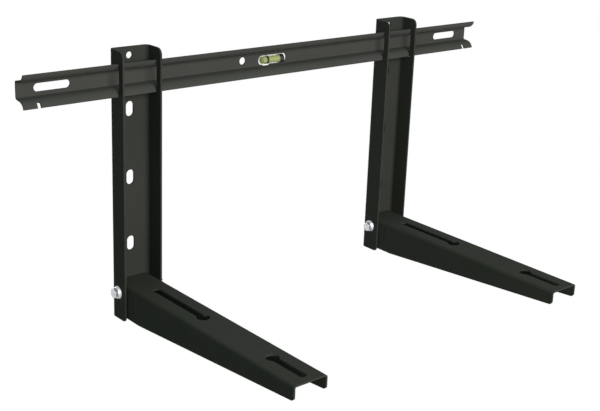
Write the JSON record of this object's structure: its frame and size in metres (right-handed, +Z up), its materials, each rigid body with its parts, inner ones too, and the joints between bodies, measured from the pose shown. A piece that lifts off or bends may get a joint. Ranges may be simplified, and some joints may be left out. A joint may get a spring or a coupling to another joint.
{
  "type": "air conditioner wall bracket",
  "caption": "Black steel wall bracket for an air conditioner outdoor unit: slotted uprights with tapered keyhole arms, joined by a crossbar with a built-in level.",
  "frame": {"origin": "middle of the rear face of the crossbar's web, the centre of its two wall slots; the wall is 2.8 mm behind it", "axes": "+X along the crossbar to the right as seen from the room, -Y away from the wall along the arms, +Z up"},
  "size_m": [0.8, 0.385, 0.37],
  "materials": {
    "black_coat": "fine-textured satin powder coat",
    "zinc": "bright zinc plate",
    "vial_clear": "clear acrylic",
    "vial_fluid": "yellow-green liquid",
    "ring_black": "matt black"
  },
  "bodies": {
    "rail": {"crossbar": "black_coat", "vial_tube": "vial_clear", "vial_plug": "ring_black", "vial_liquid": "vial_fluid"},
    "left_side": {"upright_left": "black_coat", "arm_left": "black_coat", "bolt_left": "zinc", "nut_left": "zinc"},
    "right_side": {"upright_right": "black_coat", "arm_right": "black_coat", "bolt_right": "zinc", "nut_right": "zinc"}
  },
  "joints": [
    {"name": "left_slide", "type": "slide", "parent": "rail", "child": "left_side", "axis": [1, 0, 0], "range_m": [-0.105, 0.178]},
    {"name": "right_slide", "type": "slide", "parent": "rail", "child": "right_side", "axis": [1, 0, 0], "range_m": [-0.17, 0.118]}
  ]
}
